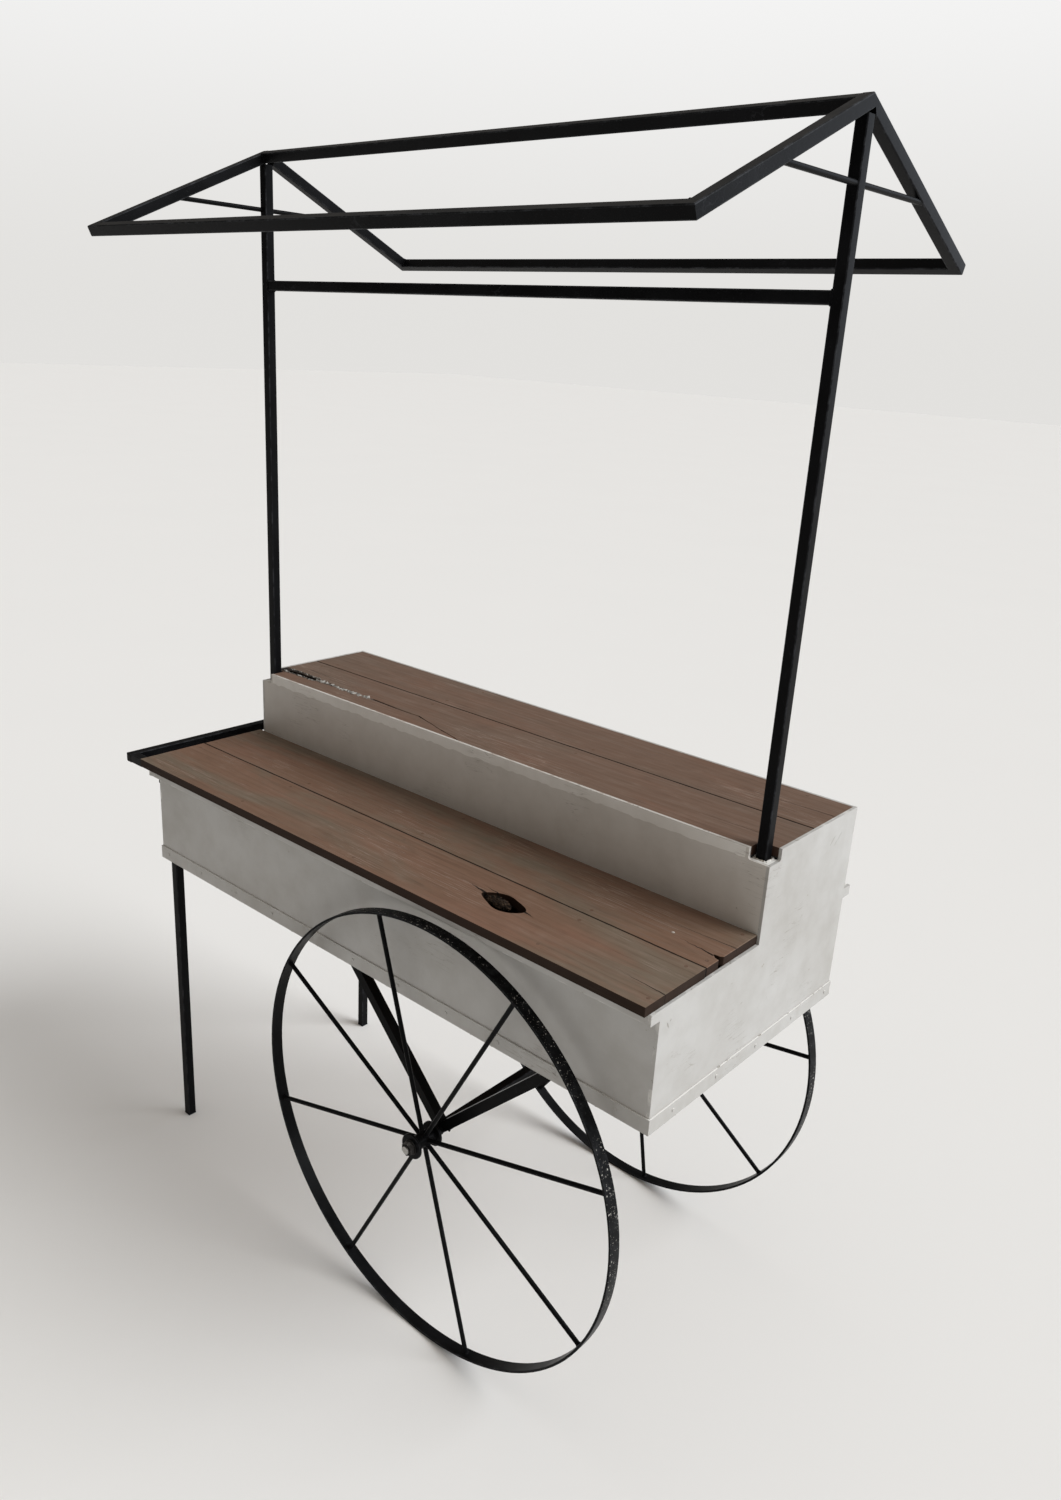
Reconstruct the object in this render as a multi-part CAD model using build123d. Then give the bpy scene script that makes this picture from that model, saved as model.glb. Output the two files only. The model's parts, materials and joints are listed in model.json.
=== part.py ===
from build123d import *
import os
from math import cos, radians, sin

# Push vending cart: a box body with a lower and an upper counter, two large spoked
# wheels, two legs, a push handle and a bare gable canopy frame.
# Millimetres. +X runs along the cart away from the push handle, +Y to the back, +Z up.
# The origin is on the ground under the middle of the cart's outline.

os.makedirs("parts", exist_ok=True)

# ---- tube, board and panel stock
tube_side = 20.0
tube_wall = 2.0
ledger_width = 25.0
board = 18.0
panel = 6.0
plate = 4.0
seam_gap = 1.0

# ---- body outline
body_left = -662.0
body_right = 729.0
body_front = -315.0
body_back = 291.0
body_bottom = 710.0
shelf_under = 941.0
lower_top = shelf_under + board
upper_top = 1110.0
riser_front = -25.0

# ---- counters
deck_left = -676.0
deck_right = 724.0
deck_front = -352.0
lower_seam = -185.0
upper_seam = 134.0
knot_x = 350.0
knot_y = -259.0

# ---- skirt band
skirt_height = 30.0
skirt_thick = 3.0
screw_pitch = 130.0
screw_head = 3.5
screw_head_height = 1.4
screw_shank = 1.6
screw_length = 8.0

# ---- canopy frame and its sockets
post_left_x = -643.0
post_right_x = 702.0
ridge_top = 2234.0
roof_pitch = 24.3
roof_slope = 446.0
crossbar_z = 1973.0
rod_z = 2121.0
rod_radius = 4.5
rod_shift = 4.0
socket_fit = 0.3
socket_wall = 2.2
socket_engage = 138.0
notch_depth = 22.0
notch_back = 12.0
notch_round = 5.0
notch_margin = 5.0

# ---- handle and legs
handle_gap = 37.4
bracket_drop = 44.0
bolt_radius = 3.0
bolt_head = 5.0
leg_x = -632.0
foot_cap = 3.0

# ---- wheels and axle
axle_x = 260.0
wheel_radius = 455.0
rim_width = 25.0
rim_thick = 5.0
rim_gap = 20.0
spoke_count = 8
spoke_radius = 4.5
front_phase = 17.4
rear_phase = 9.7
axle_radius = 7.9
axle_clearance = 0.05
hub_radius = 14.0
hub_length = 58.0
hub_offset = 3.5
end_play = 0.3
disc_radius = 25.0
disc_thick = 5.0
nut_flats = 24.0
nut_height = 10.0
washer_radius = 15.0
washer_thick = 2.0
spacer_radius = 12.0
stub_grip = 110.0

# ---- places that follow from the sizes above
half_tube = tube_side / 2
inner_left = body_left + panel
inner_right = body_right - panel
inner_front = body_front + panel
inner_back = body_back - panel
rail_top = body_bottom + tube_side
ledger_under = shelf_under - tube_side
ear_front = body_front - ledger_width
ear_back = body_back + ledger_width
riser_back = riser_front + panel
notch_floor = upper_top - notch_depth
upper_under = upper_top - board
bearer_under = upper_under - tube_side
front_rail = (inner_front, inner_front + tube_side)
back_rail = (inner_back - tube_side, inner_back)
left_rail = (inner_left, inner_left + tube_side)
right_rail = (inner_right - tube_side, inner_right)
socket_half = half_tube + socket_fit + socket_wall
post_bottom = notch_floor - socket_engage
handle_outer = deck_left - handle_gap - tube_side
notch_left = post_left_x + half_tube + notch_margin
notch_right = post_right_x - half_tube - notch_margin


def block(x, y, z):
    # a box between two limits along each axis
    size = [b - a for a, b in (x, y, z)]
    middle = [(a + b) / 2 for a, b in (x, y, z)]
    return Pos(*middle) * Box(*size)


def tube(start, end, up, width=tube_side, height=tube_side):
    # a hollow rectangular tube on the line from start to end, its height along up
    start, end, up = Vector(start), Vector(end), Vector(up)
    along = (end - start).normalized()
    section = Plane(origin=start, x_dir=up.cross(along), z_dir=along)
    bore = Rectangle(width - 2 * tube_wall, height - 2 * tube_wall)
    return extrude(section * (Rectangle(width, height) - bore), (end - start).length)


def rod(start, end, radius):
    # a round bar on the line from start to end
    start, end = Vector(start), Vector(end)
    section = Plane(origin=start, z_dir=(end - start).normalized())
    return extrude(section * Circle(radius), (end - start).length)


def trim(solid, point, away):
    # keeps the part of a solid that lies behind a plane, away from its normal
    return split(solid, bisect_by=Plane(origin=point, z_dir=away), keep=Keep.BOTTOM)


def slab(outline, axis, low, high):
    # a flat plate: an outline in the plane across an axis, filled between two limits
    frames = {
        "x": Plane(origin=(low, 0, 0), x_dir=(0, 1, 0), z_dir=(1, 0, 0)),
        "y": Plane(origin=(0, low, 0), x_dir=(1, 0, 0), z_dir=(0, -1, 0)),
        "z": Plane(origin=(0, 0, low), x_dir=(1, 0, 0), z_dir=(0, 0, 1)),
    }
    depth = low - high if axis == "y" else high - low
    return extrude(frames[axis] * make_face(Polyline(*outline, close=True)), depth)


def save(name, *shapes):
    solids = [solid for shape in shapes for solid in shape.solids()]
    whole = solids[0] if len(solids) == 1 else Compound(children=solids)
    export_step(whole, f"parts/{name}.step")


# ---- body frame: welded tubes inside the panels
def x_tube(y, z, left=inner_left, right=inner_right):
    return tube((left, y, z), (right, y, z), (0, 0, 1))


def y_tube(x, z, front=front_rail[1], back=back_rail[0]):
    return tube((x, front, z), (x, back, z), (0, 0, 1))


def z_tube(x, y, low, high):
    return tube((x, y, low), (x, y, high), (0, 1, 0))


def middle(limits):
    return sum(limits) / 2


front_y, back_y = middle(front_rail), middle(back_rail)
left_x, right_x = middle(left_rail), middle(right_rail)
strut_rise = body_bottom - wheel_radius
strut_tops = [axle_x - strut_rise, axle_x + strut_rise]

bottom_z = body_bottom + half_tube
shelf_rail_z = ledger_under + half_tube
bearer_z = bearer_under + half_tube
save("frame_bottom_rails", *[x_tube(y, bottom_z) for y in (front_y, back_y)])
save("frame_cross_rails", *[y_tube(x, bottom_z) for x in (left_x, *strut_tops, right_x)])

corner_posts = [z_tube(x, front_y, rail_top, shelf_under) for x in (left_x, right_x)]
corner_posts += [z_tube(x, back_y, rail_top, bearer_under) for x in (left_x, right_x)]

riser_rail_y = riser_back - half_tube
save(
    "frame_shelf_rails",
    x_tube(front_y, shelf_rail_z, left_rail[1], right_rail[0]),
    x_tube(riser_rail_y, shelf_rail_z),
)
save(
    "frame_upper_bearers",
    x_tube(riser_back + half_tube, bearer_z, notch_left, notch_right),
    x_tube(back_y, bearer_z),
    *[y_tube(x, bearer_z, socket_half, back_rail[0]) for x in (left_x, right_x)],
)

# ---- post sockets: square tubes that stand on the end cross rails
post_xs = {"left": post_left_x, "right": post_right_x}
socket_bore = tube_side + 2 * socket_fit
socket_outer = 2 * socket_half
socket_top = notch_floor - plate
stop_top = post_bottom
sockets = []
stops = []
for side, x in post_xs.items():
    ring = Rectangle(socket_outer, socket_outer) - Rectangle(socket_bore, socket_bore)
    sockets.append(Pos(x, 0, rail_top) * extrude(ring, socket_top - rail_top))
    stops.append(Pos(x, 0, stop_top - plate / 2) * Box(socket_bore, socket_bore, plate))
    save(f"post_socket_{side}", sockets[-1])
save("post_stops", *stops)

# ---- floor of the body, cut around the uprights
floor = block((inner_left, inner_right), (inner_front, inner_back), (rail_top, rail_top + panel))
for x in (left_x, right_x):
    for y in (front_y, back_y):
        floor -= Pos(x, y, rail_top) * Box(tube_side, tube_side, 4 * panel)
for x in post_xs.values():
    floor -= Pos(x, 0, rail_top) * Box(socket_outer, socket_outer, 4 * panel)
save("floor_panel", floor)

# ---- skirt screws: domed heads on the band, shanks through band and panel
screw_z = body_bottom + skirt_height / 2
long_row = [-635 + screw_pitch * k for k in range(11)]
short_row = [10 + screw_pitch * k for k in range(-2, 3)]
skirt_left, skirt_right = body_left - skirt_thick, body_right + skirt_thick
skirt_front, skirt_back = body_front - skirt_thick, body_back + skirt_thick
screw_seats = {
    "front": [((x, skirt_front, screw_z), (0, 1, 0)) for x in long_row],
    "rear": [((x, skirt_back, screw_z), (0, -1, 0)) for x in long_row],
    "left": [((skirt_left, y, screw_z), (1, 0, 0)) for y in short_row],
    "right": [((skirt_right, y, screw_z), (-1, 0, 0)) for y in short_row],
}
screws = []
screw_holes = {}
for side, seats in screw_seats.items():
    screw_holes[side] = []
    for seat, inward in seats:
        seat, inward = Vector(seat), Vector(inward)
        shank = rod(seat, seat + inward * screw_length, screw_shank)
        head = rod(seat - inward * screw_head_height, seat, screw_head)
        crown = head.faces().sort_by(Axis(seat, inward))[0]
        screw_holes[side].append(shank)
        screws.append(fillet(crown.edges(), screw_head_height * 0.7) + shank)
save("skirt_screws", *screws)


def drill(solid, holes):
    for hole in holes:
        solid -= hole
    return solid


# ---- handle: a U of square tube whose top is level with the lower counter
arm_z = lower_top - half_tube
arm_under = lower_top - tube_side
front_arm_y = deck_front + half_tube
back_arm_y = ear_back - half_tube
handle_x = handle_outer + half_tube
save("handle_crossbar", tube((handle_x, deck_front, arm_z), (handle_x, ear_back, arm_z), (0, 0, 1)))
arm_start = handle_outer + tube_side
front_arm = tube((arm_start, front_arm_y, arm_z), (deck_left, front_arm_y, arm_z), (0, 0, 1))
back_arm = tube((arm_start, back_arm_y, arm_z), (body_left, back_arm_y, arm_z), (0, 0, 1))
save("handle_arms", front_arm, back_arm)

# angle brackets under the arms, bolted through the left end panel into the uprights
bolt_xs = (body_left - plate, inner_left + 2 * tube_wall)
brackets = []
bolts = []
bolt_shanks = []
for bolt_y, shelf_span, wall_span in (
    (front_y, (ear_front, front_rail[1]), (body_front, front_rail[1])),
    (back_y, (back_rail[0], ear_back - plate), (back_rail[0], body_back)),
):
    shelf = block((handle_outer, body_left), shelf_span, (arm_under - plate, arm_under))
    wall = block((body_left - plate, body_left), wall_span, (arm_under - bracket_drop, arm_under))
    bracket = shelf + wall
    for z in (arm_under - bracket_drop * 0.35, arm_under - bracket_drop * 0.8):
        shank = rod((bolt_xs[0], bolt_y, z), (bolt_xs[1], bolt_y, z), bolt_radius)
        seat = Plane(origin=(bolt_xs[0], bolt_y, z), z_dir=(-1, 0, 0))
        head = extrude(seat * RegularPolygon(bolt_head, 6), bolt_radius)
        bracket -= shank
        bolt_shanks.append(shank)
        bolts.append(head + shank)
    brackets.append(bracket)
save("handle_brackets", *brackets)
save("handle_bolts", *bolts)
save("frame_uprights", *[drill(post, bolt_shanks) for post in corner_posts])


# ---- panels of the body
def stepped_end(low, high):
    # an end panel: a box outline with an ear over each ledger end and the riser's step
    outline = [
        (body_front, body_bottom), (body_front, ledger_under), (ear_front, ledger_under),
        (ear_front, shelf_under), (riser_front, shelf_under), (riser_front, notch_floor),
        (notch_back, notch_floor), (notch_back, upper_top), (body_back, upper_top),
        (body_back, shelf_under), (ear_back, shelf_under), (ear_back, ledger_under),
        (body_back, ledger_under), (body_back, body_bottom),
    ]
    end = slab(outline, "x", low, high)
    inside = end.edges().filter_by(Axis.X).sort_by_distance((low, notch_back, notch_floor))[0]
    return fillet(inside, notch_round)


def riser():
    # the riser, its top edge dropped around both posts
    outline = [
        (inner_left, shelf_under), (inner_right, shelf_under), (inner_right, notch_floor),
        (notch_right, notch_floor), (notch_right, upper_top), (notch_left, upper_top),
        (notch_left, notch_floor), (inner_left, notch_floor),
    ]
    face = slab(outline, "y", riser_front, riser_back)
    across = face.edges().filter_by(Axis.Y)
    inside = [across.sort_by_distance((x, riser_front, notch_floor))[0] for x in (notch_left, notch_right)]
    return fillet(inside, notch_round)


inner_span = (inner_left, inner_right)
front_panel = block(inner_span, (body_front, inner_front), (body_bottom, shelf_under))
rear_panel = block(inner_span, (inner_back, body_back), (body_bottom, upper_top))
save("front_panel", drill(front_panel, screw_holes["front"]))
save("rear_panel", drill(rear_panel, screw_holes["rear"]))
save("left_end_panel", drill(stepped_end(body_left, inner_left), screw_holes["left"] + bolt_shanks))
save("right_end_panel", drill(stepped_end(inner_right, body_right), screw_holes["right"]))
save("riser_panel", riser())

# ---- ledger rails under the lower counter's edges, between the ears
ledger_z = shelf_under - half_tube
for side, y in (("front", body_front - ledger_width / 2), ("rear", body_back + ledger_width / 2)):
    ledger = tube((inner_left, y, ledger_z), (inner_right, y, ledger_z), (0, 0, 1), ledger_width)
    save(f"ledger_{side}", ledger)

# ---- skirt band around the foot of the body
skirt_z = (body_bottom, body_bottom + skirt_height)
skirt_spans = {
    "front": ((skirt_left, skirt_right), (skirt_front, body_front)),
    "rear": ((skirt_left, skirt_right), (body_back, skirt_back)),
    "left": ((skirt_left, body_left), (body_front, body_back)),
    "right": ((body_right, skirt_right), (body_front, body_back)),
}
for side, (x, y) in skirt_spans.items():
    save(f"skirt_{side}", drill(block(x, y, skirt_z), screw_holes[side]))

# ---- painted plates around the posts, on top of the sockets
plate_spans = {"left": (inner_left, notch_left), "right": (notch_right, inner_right)}
post_plates = []
for side, x in post_xs.items():
    sheet = block(plate_spans[side], (riser_back, notch_back), (socket_top, notch_floor))
    post_plates.append(sheet - Pos(x, 0, socket_top) * Box(socket_bore, socket_bore, 4 * plate))
save("post_plates", *post_plates)

# ---- lower counter: two boards, a knot hole in the front one
seam_half = seam_gap / 2
front_board = block((deck_left, deck_right), (deck_front, lower_seam - seam_half), (shelf_under, lower_top))
knot_outline = [(-51, 3), (-38, 16), (-8, 27), (14, 22), (49, 2), (34, -20), (6, -29), (-30, -16)]
knot_points = [(knot_x + dx, knot_y + dy) for dx, dy in knot_outline]
knot = make_face(Plane.XY.offset(shelf_under - 1) * Spline(*knot_points, periodic=True))
save("lower_board_front", front_board - extrude(knot, board + 2))

# the rear board has a ragged notch in its right end
notch_y = -140.0
rear_outline = [
    (deck_left, lower_seam + seam_half), (deck_right, lower_seam + seam_half),
    (deck_right, notch_y - 7), (deck_right - 9, notch_y - 5), (deck_right - 13, notch_y - 1),
    (deck_right - 17, notch_y + 3), (deck_right - 6, notch_y + 4), (deck_right, notch_y + 8),
    (deck_right, riser_front), (deck_left, riser_front),
]
save("lower_board_rear", slab(rear_outline, "z", shelf_under, lower_top))

# ---- upper counter: boards inside the panels, the front one split by a ragged crack
crack = [
    (notch_left, 25, 4.5), (-585, 30, 5.5), (-520, 29, 4), (-480, 33, 2.5), (-430, 29, 0.8),
    (-322, 31, 0.7), (-240, 27, 0.7), (-176, 29, 0.8), (-120, 14, 0.6), (-79, 1, 0.6), (-30, -10, 0.5),
]
crack_end = -6.0
board_side = [(x, y + gap) for x, y, gap in crack]
strip_side = [(x, y - gap) for x, y, gap in crack]
front_outline = [
    (inner_left, notch_back), (notch_left, notch_back), *board_side, (crack_end, riser_back),
    (notch_right, riser_back), (notch_right, notch_back), (inner_right, notch_back),
    (inner_right, upper_seam - seam_half), (inner_left, upper_seam - seam_half),
]
strip_outline = [(notch_left, riser_back), *strip_side, (crack_end - 4, riser_back)]
save("upper_board_front", slab(front_outline, "z", upper_under, upper_top))
save("upper_board_strip", slab(strip_outline, "z", upper_under, upper_top))
rear_span = (upper_seam + seam_half, inner_back)
save("upper_board_rear", block(inner_span, rear_span, (upper_under, upper_top)))

# ---- legs with welded foot caps
rail_ys = {"front": front_y, "rear": back_y}
for side, y in rail_ys.items():
    save(f"leg_{side}", z_tube(leg_x, y, foot_cap, body_bottom))
cap = Box(tube_side, tube_side, foot_cap)
save("foot_caps", *[Pos(leg_x, y, foot_cap / 2) * cap for y in rail_ys.values()])

# ---- axle: V struts down to the hubs, a beam between them and a stub at each end
axle_hole = axle_radius + 0.1


def strut(top_x, y):
    # one leg of the V, cut level under the body and upright where the pair meets
    foot = Vector(axle_x, y, wheel_radius)
    top = Vector(top_x, y, body_bottom)
    along = (top - foot).normalized() * 2 * tube_side
    bar = tube(foot - along, top + along, (0, 1, 0))
    inward = 1 if top_x < axle_x else -1
    bar = trim(bar, (axle_x, y, wheel_radius), (inward, 0, 0))
    bar = trim(bar, (top_x, y, body_bottom), (0, 0, 1))
    reach = Vector(0, tube_side, 0)
    return bar - rod(foot - reach, foot + reach, axle_hole)


for side, y in rail_ys.items():
    for end, top_x in zip(("left", "right"), strut_tops):
        save(f"strut_{side}_{end}", strut(top_x, y))
save("axle_beam", y_tube(axle_x, wheel_radius))


# ---- wheels: rim, round spokes, hub tube and two hub discs, running on the stubs
def ring(outer, inner, y, width):
    # a ring on the axle line, centred at y
    section = Plane(origin=(axle_x, y + width / 2, wheel_radius), z_dir=(0, -1, 0))
    return extrude(section * (Circle(outer) - Circle(inner)), width)


bore = axle_radius + axle_clearance
stubs = []
spacers = []
washers = []
nuts = []
wheel_places = {
    "front": (-1, skirt_front - rim_gap - rim_width / 2, front_phase),
    "rear": (1, skirt_back + rim_gap + rim_width / 2, rear_phase),
}
for side, (outward, rim_y, phase) in wheel_places.items():
    hub_y = rim_y + outward * hub_offset
    rim = ring(wheel_radius, wheel_radius - rim_thick, rim_y, rim_width)
    barrel = ring(hub_radius, bore, hub_y, hub_length - 2 * disc_thick)
    disc_shift = (hub_length - disc_thick) / 2
    discs = [ring(disc_radius, bore, hub_y + sign * disc_shift, disc_thick) for sign in (-1, 1)]
    spokes = []
    for k in range(spoke_count):
        turn = radians(phase + 360 / spoke_count * k)
        ends = [
            (axle_x + r * cos(turn), rim_y, wheel_radius + r * sin(turn))
            for r in (hub_radius - 2, wheel_radius - rim_thick + 2)
        ]
        spokes.append(rod(*ends, spoke_radius) - barrel - rim)
    save(f"wheel_{side}_rim", rim)
    save(f"wheel_{side}_spokes", *spokes)
    save(f"wheel_{side}_hub", barrel)
    save(f"wheel_{side}_discs", *discs)

    # spacer, washer and nut, and the stub axle that they sit on
    rail_face = front_rail[0] if side == "front" else back_rail[1]
    hub_inner = hub_y - outward * (hub_length / 2 + end_play)
    hub_outer = hub_y + outward * (hub_length / 2 + end_play)
    washer_y = hub_outer + outward * washer_thick / 2
    nut_face = hub_outer + outward * washer_thick
    stub_end = nut_face + outward * (nut_height + 3)
    stub_start = rail_face - outward * stub_grip
    stubs.append(rod((axle_x, stub_start, wheel_radius), (axle_x, stub_end, wheel_radius), axle_radius))
    spacer_length = abs(rail_face - hub_inner)
    spacers.append(ring(spacer_radius, axle_hole, (rail_face + hub_inner) / 2, spacer_length))
    washers.append(ring(washer_radius, axle_hole, washer_y, washer_thick))
    seat = Plane(origin=(axle_x, nut_face, wheel_radius), z_dir=(0, outward, 0))
    hexagon = RegularPolygon(nut_flats / 2, 6, major_radius=False)
    nuts.append(extrude(seat * (hexagon - Circle(axle_hole)), nut_height))
save("axle_stubs", *stubs)
save("axle_spacers", *spacers)
save("axle_washers", *washers)
save("axle_nuts", *nuts)

# ---- canopy: a tilted front frame and a rear frame hung from its ridge
tilt = radians(roof_pitch)
down_front = Vector(0, -cos(tilt), -sin(tilt))
down_back = Vector(0, cos(tilt), -sin(tilt))
up_front = Vector(0, -sin(tilt), cos(tilt))
up_back = Vector(0, sin(tilt), cos(tilt))
apexes = {
    "left": (Vector(post_left_x - half_tube, 0, ridge_top), Vector(1, 0, 0)),
    "right": (Vector(post_right_x + half_tube, 0, ridge_top), Vector(-1, 0, 0)),
}


def mitre(bar, corner, along, across):
    # a 45 degree cut at a frame's corner: the bar runs along, its neighbour runs across
    return trim(bar, corner, across - along)


def cross_member(shift, inward_slope, up):
    # a bar along X between the gables, mitred at both ends
    ends = [apex + shift + (inward_slope - up) * half_tube for apex, _ in apexes.values()]
    bar = tube(*ends, up)
    for apex, inward in apexes.values():
        bar = mitre(bar, apex + shift, inward, inward_slope)
    return bar


def rafter(apex, inward, down, up):
    # a sloping bar under one gable's edge, mitred at the eave
    start = apex + (inward - up) * half_tube - down * tube_side
    bar = tube(start, start + down * (roof_slope + tube_side), up)
    return mitre(bar, apex + down * roof_slope, -down, inward)


front_rafters = [mitre(rafter(a, i, down_front, up_front), a, down_front, i) for a, i in apexes.values()]
rear_rafters = [trim(rafter(a, i, down_back, up_back), a, down_front) for a, i in apexes.values()]
save("canopy_ridge", cross_member(Vector(0, 0, 0), down_front, up_front))
save("canopy_front_eave", cross_member(down_front * roof_slope, -down_front, up_front))
save("canopy_rear_eave", cross_member(down_back * roof_slope, -down_back, up_back))
save("canopy_front_rafters", *front_rafters)
save("canopy_rear_rafters", *rear_rafters)

# posts end square under the front frame, which leaves a small opening at the apex
post_top = ridge_top - tube_side / cos(tilt) - half_tube * sin(tilt) / cos(tilt)
for side, x in post_xs.items():
    save(f"canopy_post_{side}", z_tube(x, 0, post_bottom, post_top))
bar_ends = [(post_left_x + half_tube, 0, crossbar_z), (post_right_x - half_tube, 0, crossbar_z)]
save("canopy_crossbar", tube(*bar_ends, (0, 0, 1)))

tie_rods = []
for (apex, inward), x in zip(apexes.values(), post_xs.values()):
    rod_x = x - inward.X * rod_shift
    for down, up in ((down_front, up_front), (down_back, up_back)):
        toward = 1 if down.Y > 0 else -1
        tie = rod((rod_x, toward * half_tube, rod_z), (rod_x, toward * roof_slope / 2, rod_z), rod_radius)
        tie_rods.append(trim(tie, apex - up * tube_side, up))
save("canopy_tie_rods", *tie_rods)
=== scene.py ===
# Push vending cart: a white box body with two brown counters, tall spoked wheels
# and a bare black canopy frame.
# Metres. +X runs along the cart away from the push handle, +Y to the back, +Z up.
import json
import random
from math import cos, radians, sin

import bmesh
import bpy
from mathutils import Matrix, Vector, noise


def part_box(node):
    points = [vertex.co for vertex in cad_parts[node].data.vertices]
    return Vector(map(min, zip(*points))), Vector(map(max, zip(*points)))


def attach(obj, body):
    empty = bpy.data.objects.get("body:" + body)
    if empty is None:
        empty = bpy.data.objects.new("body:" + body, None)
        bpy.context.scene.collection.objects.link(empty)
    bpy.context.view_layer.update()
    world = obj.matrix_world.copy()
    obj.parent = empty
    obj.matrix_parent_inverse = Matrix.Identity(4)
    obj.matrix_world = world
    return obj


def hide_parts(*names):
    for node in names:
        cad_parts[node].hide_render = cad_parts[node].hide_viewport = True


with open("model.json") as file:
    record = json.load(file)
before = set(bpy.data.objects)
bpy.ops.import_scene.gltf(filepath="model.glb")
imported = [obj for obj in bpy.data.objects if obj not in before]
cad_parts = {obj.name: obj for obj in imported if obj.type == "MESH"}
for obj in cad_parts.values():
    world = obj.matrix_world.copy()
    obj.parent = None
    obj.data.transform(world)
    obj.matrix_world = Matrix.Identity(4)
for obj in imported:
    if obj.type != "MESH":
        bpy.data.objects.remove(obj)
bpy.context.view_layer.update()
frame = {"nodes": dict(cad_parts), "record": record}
nodes = frame["nodes"]
record = frame["record"]
bodyOf = {node: body for body, members in record["behaviour"]["bodies"].items() for node in members}
slotOf = {part["node"]: part["material_slot"] for part in record["subparts"]}


# shader maths

class Shade:
    # one socket of a material's nodes, so that sums and masks of patterns read as expressions
    def __init__(self, tree, socket=None):
        self.tree = tree
        self.socket = socket

    def make(self, kind, settings=None, values=None, out=0):
        # any node: its type, its settings, the values or links of its sockets, and the output wanted
        node = self.tree.nodes.new("ShaderNode" + kind)
        for name, value in (settings or {}).items():
            setattr(node, name, value)
        for name, value in (values or {}).items():
            if isinstance(value, Shade):
                self.tree.links.new(value.socket, node.inputs[name])
            else:
                node.inputs[name].default_value = value
        return Shade(self.tree, node.outputs[out])

    def maths(self, operation, first, second=0.0):
        return self.make("Math", {"operation": operation}, {0: first, 1: second})

    def __add__(self, other):
        return self.maths("ADD", self, other)

    def __radd__(self, other):
        return self.maths("ADD", other, self)

    def __sub__(self, other):
        return self.maths("SUBTRACT", self, other)

    def __rsub__(self, other):
        return self.maths("SUBTRACT", other, self)

    def __mul__(self, other):
        return self.maths("MULTIPLY", self, other)

    def __rmul__(self, other):
        return self.maths("MULTIPLY", other, self)

    def size(self):
        return self.maths("ABSOLUTE", self)

    def larger(self, other):
        return self.maths("MAXIMUM", self, other)

    def smooth(self, low, high):
        # 0 below low, 1 above high and smooth between them; low above high turns it round
        ends = {"Value": self, "From Min": low, "From Max": high}
        if low > high:
            ends = {"Value": self, "From Min": high, "From Max": low, "To Min": 1.0, "To Max": 0.0}
        return self.make("MapRange", {"interpolation_type": "SMOOTHSTEP"}, ends)

    def axis(self, name):
        return self.make("SeparateXYZ", None, {0: self}, "XYZ".index(name))

    def placed(self, scale=(1, 1, 1), shift=(0, 0, 0), turn=(0, 0, 0)):
        inputs = {"Vector": self, "Location": shift, "Rotation": turn, "Scale": scale}
        return self.make("Mapping", None, inputs)

    def noise(self, scale, detail=2.0, roughness=0.5, distortion=0.0):
        inputs = {"Vector": self, "Scale": scale, "Detail": detail, "Roughness": roughness}
        return self.make("TexNoise", None, {**inputs, "Distortion": distortion})

    def cells(self, scale, randomness=1.0):
        # distance to the nearest of many scattered points
        return self.make("TexVoronoi", None, {"Vector": self, "Scale": scale, "Randomness": randomness})

    def tint(self, first, second):
        # a colour between two others, by this mask
        colours = {0: self, 6: rgba(first), 7: rgba(second)}
        return self.make("Mix", {"data_type": "RGBA"}, colours, 2)


def rgba(colour):
    return colour if isinstance(colour, Shade) else (*colour, 1.0)


class Finish:
    # a material with one principled shader; constants go on its own sockets
    def __init__(self, name, constants):
        self.material = bpy.data.materials.new(name)
        self.material.use_nodes = True
        self.tree = self.material.node_tree
        self.shader = self.tree.nodes["Principled BSDF"]
        for socket, value in constants.items():
            self.shader.inputs[socket].default_value = value
        start = Shade(self.tree)
        self.place = start.make("TexCoord", out="Object")
        self.facing = start.make("TexCoord", out="Normal")
        self.edge = start.make("Attribute", {"attribute_name": "edge"}, out=2)

    def paint(self, socket, pattern):
        self.tree.links.new(pattern.socket, self.shader.inputs[socket])

    def relief(self, height, depth):
        # a bump whose height of 1 stands depth metres proud
        bump = height.make("Bump", None, {"Height": height, "Distance": depth, "Strength": 1.0})
        self.paint("Normal", bump)


# black painted steel

blackSteelLook = {
    "paint": (0.0028, 0.0028, 0.0031),
    "faded": (0.0060, 0.0061, 0.0068),
    "chip": (0.045, 0.047, 0.052),
    "dust": (0.19, 0.20, 0.215),
    "dustAmount": 0.06,
    "gloss": 0.05,
    "roughness": 0.30,
    "specksFrom": 0.74,
}
fixingLook = {
    **blackSteelLook,
    "faded": (0.03, 0.028, 0.027),
    "chip": (0.2, 0.19, 0.18),
    "roughness": 0.42,
    "dustAmount": 0.14,
}
nailLook = {
    **blackSteelLook,
    "paint": (0.145, 0.088, 0.060),
    "faded": (0.185, 0.118, 0.084),
    "chip": (0.24, 0.19, 0.15),
    "roughness": 0.5,
    "dustAmount": 0.15,
}
primerLook = {
    **blackSteelLook,
    "paint": (0.05, 0.05, 0.052),
    "faded": (0.075, 0.072, 0.07),
    "chip": (0.16, 0.075, 0.04),
    "roughness": 0.55,
    "dustAmount": 0.2,
}


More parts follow.
